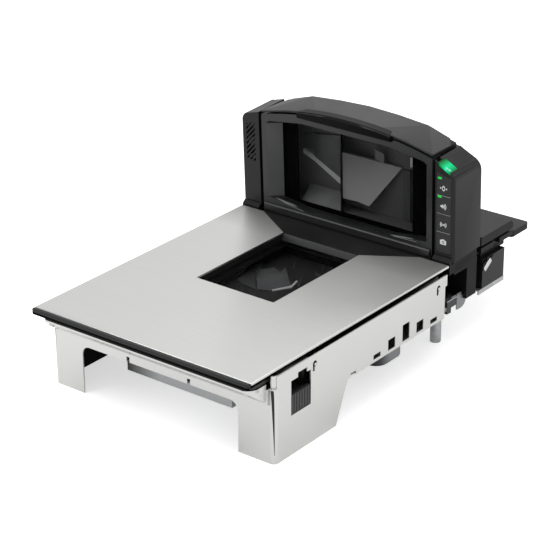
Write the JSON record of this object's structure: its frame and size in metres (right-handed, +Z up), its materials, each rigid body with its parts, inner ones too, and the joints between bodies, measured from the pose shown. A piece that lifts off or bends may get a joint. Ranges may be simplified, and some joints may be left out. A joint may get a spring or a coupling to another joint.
{
  "type": "counter scanner scale",
  "caption": "In-counter barcode scanner and scale: flat steel weighing platter with a reading window, folded steel chassis with legs, and an upright reading tower with keypad and status light.",
  "frame": {"origin": "middle of the bounding box on the plane that the front legs and rear feet stand on", "axes": "+Z up, +Y from the platter's front edge back to the tower and rear deck, +X to the operator's right, where the keypad is"},
  "size_m": [0.292, 0.5116, 0.2368],
  "materials": {
    "platter_steel": "brushed",
    "chassis_steel": "satin",
    "zinc_steel": "satin",
    "cell_aluminium": "machined",
    "carrier_black": "black powder coat",
    "stop_black": "moulded",
    "pad_rubber": "matte",
    "trim_grey": "fine texture",
    "cover_black": "fine spark texture",
    "frame_black": "fine texture",
    "housing_black": "dull",
    "window_glass": "clear",
    "mirror": "polished",
    "circuit_board": "solder mask",
    "lens_black": "gloss",
    "key_dark": "soft touch",
    "status_green": "lit lens",
    "indicator_green": "lit lens",
    "port_metal": "plated",
    "lever_steel": "satin plate",
    "screw_dark": "black zinc",
    "screw_steel": "zinc plate"
  },
  "bodies": {
    "chassis": {"chassis_shell": "chassis_steel", "base_pan": "zinc_steel", "rear_frame": "zinc_steel", "overload_stops": "stop_black", "load_cell": "cell_aluminium", "load_cell_block": "cell_aluminium", "scale_board": "circuit_board", "window_frame": "frame_black", "window_seal": "pad_rubber", "window_glass": "window_glass", "optics_tub": "housing_black", "lower_mirror_front": "mirror", "lower_mirror_rear": "mirror", "lower_mirror_left": "mirror", "lower_mirror_right": "mirror", "lower_imager": "circuit_board", "lower_lens": "lens_black", "apron": "frame_black", "tower_base": "cover_black", "tower_frame": "housing_black", "tower_glass": "window_glass", "tower_seal": "pad_rubber", "tower_mirror_right": "mirror", "tower_mirror_left": "mirror", "tower_mirror_floor": "mirror", "light_baffle": "housing_black", "upper_imager": "circuit_board", "upper_lens": "lens_black", "front_bezel": "cover_black", "top_cover": "cover_black", "left_cap": "cover_black", "speaker": "stop_black", "right_cap": "cover_black", "keypad_frame": "key_dark", "keypad_board": "circuit_board", "indicator_lights": "indicator_green", "status_lens": "status_green", "rear_cover": "cover_black", "rear_deck": "cover_black", "deck_neck": "cover_black", "connector_box": "cover_black", "main_board": "circuit_board", "data_ports": "port_metal", "power_inlet": "lens_black", "latch_pin": "lever_steel", "lip_screws": "screw_steel", "cover_screws": "screw_dark", "deck_screws": "screw_dark"},
    "carrier": {"weigh_frame": "carrier_black", "cell_riser": "cell_aluminium", "platter_pads": "pad_rubber"},
    "platter": {"platter": "platter_steel", "front_trim": "trim_grey"},
    "key_zero": {"key_zero": "key_dark"},
    "key_volume": {"key_volume": "key_dark"},
    "key_tag": {"key_tag": "key_dark"},
    "key_camera": {"key_camera": "key_dark"},
    "latch": {"latch_lever": "lever_steel"},
    "foot_left": {"rear_foot_left": "zinc_steel"},
    "foot_right": {"rear_foot_right": "zinc_steel"}
  },
  "joints": [
    {"name": "weigh_travel", "type": "slide", "parent": "chassis", "child": "carrier", "axis": [0, 0, -1], "range_m": [0, 0.0004], "stiffness_N_per_m": 300000, "springref_m": -0.0001},
    {"name": "platter_lift", "type": "slide", "parent": "carrier", "child": "platter", "axis": [0, 0, 1], "range_m": [0, 0.06]},
    {"name": "key_zero_press", "type": "slide", "parent": "chassis", "child": "key_zero", "axis": [0, 0.9992, 0.0401], "range_m": [0, 0.0006], "stiffness_N_per_m": 2500},
    {"name": "key_volume_press", "type": "slide", "parent": "chassis", "child": "key_volume", "axis": [0, 0.9992, 0.0401], "range_m": [0, 0.0006], "stiffness_N_per_m": 2500},
    {"name": "key_tag_press", "type": "slide", "parent": "chassis", "child": "key_tag", "axis": [0, 0.9992, 0.0401], "range_m": [0, 0.0006], "stiffness_N_per_m": 2500},
    {"name": "key_camera_press", "type": "slide", "parent": "chassis", "child": "key_camera", "axis": [0, 0.9992, 0.0401], "range_m": [0, 0.0006], "stiffness_N_per_m": 2500},
    {"name": "latch_swing", "type": "hinge", "parent": "chassis", "child": "latch", "pos_m": [0.14255, 0.16275, 0.0775], "axis": [1, 0, 0], "range_deg": [-80, 0]},
    {"name": "foot_left_turn", "type": "hinge", "parent": "chassis", "child": "foot_left", "pos_m": [-0.1186, 0.10325, 0.02], "axis": [0, 0, 1], "continuous": true},
    {"name": "foot_right_turn", "type": "hinge", "parent": "chassis", "child": "foot_right", "pos_m": [0.1186, 0.10325, 0.02], "axis": [0, 0, 1], "continuous": true}
  ]
}
